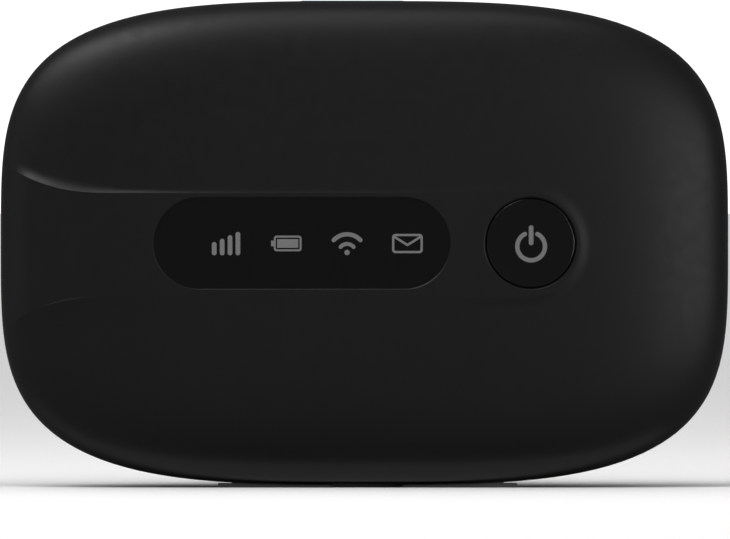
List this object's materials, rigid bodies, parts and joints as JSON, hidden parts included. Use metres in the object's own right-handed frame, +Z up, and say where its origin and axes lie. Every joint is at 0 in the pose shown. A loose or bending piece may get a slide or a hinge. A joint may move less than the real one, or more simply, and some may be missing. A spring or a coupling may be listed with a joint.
{
  "type": "mobile hotspot",
  "caption": "Pocket mobile hotspot with a pillow-shaped case, icon window, power button, port strip, removable cover, battery and SIM card.",
  "frame": {"origin": "under the middle of the body, on the port strip's flat underside, which is what the device stands on", "axes": "+X to the right seen from the front, along the width; -Y out of the front face; +Z up, along the height"},
  "size_m": [0.0898, 0.014, 0.0601],
  "materials": {
    "case_black": "fine moulded texture, satin matt",
    "cover_black": "fine moulded texture, satin matt",
    "strip_grey": "smooth matt",
    "window_gloss": "polished smoked lens",
    "button_gloss": "polished",
    "button_satin": "satin",
    "icon_grey": "pale translucent plastic, unlit",
    "adhesive": "foam tape",
    "foam_black": "matt",
    "clear_plastic": "frosted clear",
    "led": "phosphor under clear resin",
    "switch_steel": "stamped",
    "switch_plastic": "moulded",
    "board_green": "solder mask",
    "chip_black": "moulded epoxy",
    "thermal_pad": "soft silicone",
    "can_steel": "tinned steel",
    "ceramic": "ceramic bodies",
    "contact_gold": "gold plated",
    "carrier_plastic": "moulded",
    "antenna_copper": "copper foil",
    "battery_wrap": "printed film wrap",
    "label_white": "paper film, blank",
    "card_white": "smooth card plastic",
    "screw_steel": "zinc plated"
  },
  "bodies": {
    "housing": {"antenna_springs": "contact_gold", "battery_connector": "switch_plastic", "battery_icon": "icon_grey", "battery_spring_pins": "contact_gold", "board_passives": "ceramic", "display_window": "window_gloss", "diversity_antenna": "antenna_copper", "diversity_antenna_carrier": "carrier_plastic", "front_shell": "case_black", "housing_screws": "screw_steel", "indicator_leds": "led", "light_guide": "clear_plastic", "light_shield": "foam_black", "main_antenna": "antenna_copper", "main_antenna_carrier": "carrier_plastic", "main_board": "board_green", "memory_chip": "chip_black", "message_icon": "icon_grey", "modem_processor": "chip_black", "modem_shield_can": "can_steel", "port_strip": "strip_grey", "power_amplifiers": "chip_black", "power_button_leds": "led", "power_management_chip": "chip_black", "power_shield_can": "can_steel", "power_switch_body": "switch_steel", "rating_label": "label_white", "rear_housing": "case_black", "reset_switch_body": "switch_steel", "rf_shield_can": "can_steel", "rf_test_sockets": "contact_gold", "rf_transceiver": "chip_black", "signal_icon": "icon_grey", "sim_socket_base": "switch_plastic", "sim_socket_cage": "can_steel", "sim_socket_springs": "contact_gold", "thermal_pad": "thermal_pad", "usb_contacts": "contact_gold", "usb_socket_shell": "can_steel", "usb_socket_tongue": "switch_plastic", "wifi_antenna": "can_steel", "wifi_icon": "icon_grey", "window_adhesive": "adhesive", "wps_switch_body": "switch_steel"},
    "power_button": {"power_button_cap": "button_gloss", "power_icon_insert": "icon_grey", "power_switch_plunger": "switch_plastic"},
    "wps_button": {"wps_button_cap": "button_satin", "wps_switch_plunger": "switch_plastic"},
    "reset_button": {"reset_switch_plunger": "switch_plastic"},
    "battery_door": {"back_cover": "cover_black"},
    "battery": {"battery_cell": "battery_wrap", "battery_end_cap": "switch_plastic", "battery_contacts": "contact_gold", "battery_label": "label_white"},
    "sim": {"sim_card": "card_white", "sim_card_pads": "contact_gold"}
  },
  "joints": [
    {"name": "power_button_press", "type": "slide", "parent": "housing", "child": "power_button", "axis": [0, 1, 0], "range_m": [0, 0.00035], "stiffness_N_per_m": 900},
    {"name": "wps_button_press", "type": "slide", "parent": "housing", "child": "wps_button", "axis": [0, 0, -1], "range_m": [0, 0.00025], "stiffness_N_per_m": 900},
    {"name": "reset_button_press", "type": "slide", "parent": "housing", "child": "reset_button", "axis": [0, -1, 0], "range_m": [0, 0.00025], "stiffness_N_per_m": 900},
    {"name": "back_cover_lift", "type": "slide", "parent": "housing", "child": "battery_door", "axis": [0, 1, 0], "range_m": [0, 0.03]},
    {"name": "battery_lift", "type": "slide", "parent": "housing", "child": "battery", "axis": [0, 1, 0], "range_m": [0, 0.015]},
    {"name": "sim_card_slide", "type": "slide", "parent": "housing", "child": "sim", "axis": [1, 0, 0], "range_m": [0, 0.017]}
  ],
  "couplings": [
    {"joint": "battery_lift", "follows": "back_cover_lift", "ratio": 0.5}
  ]
}
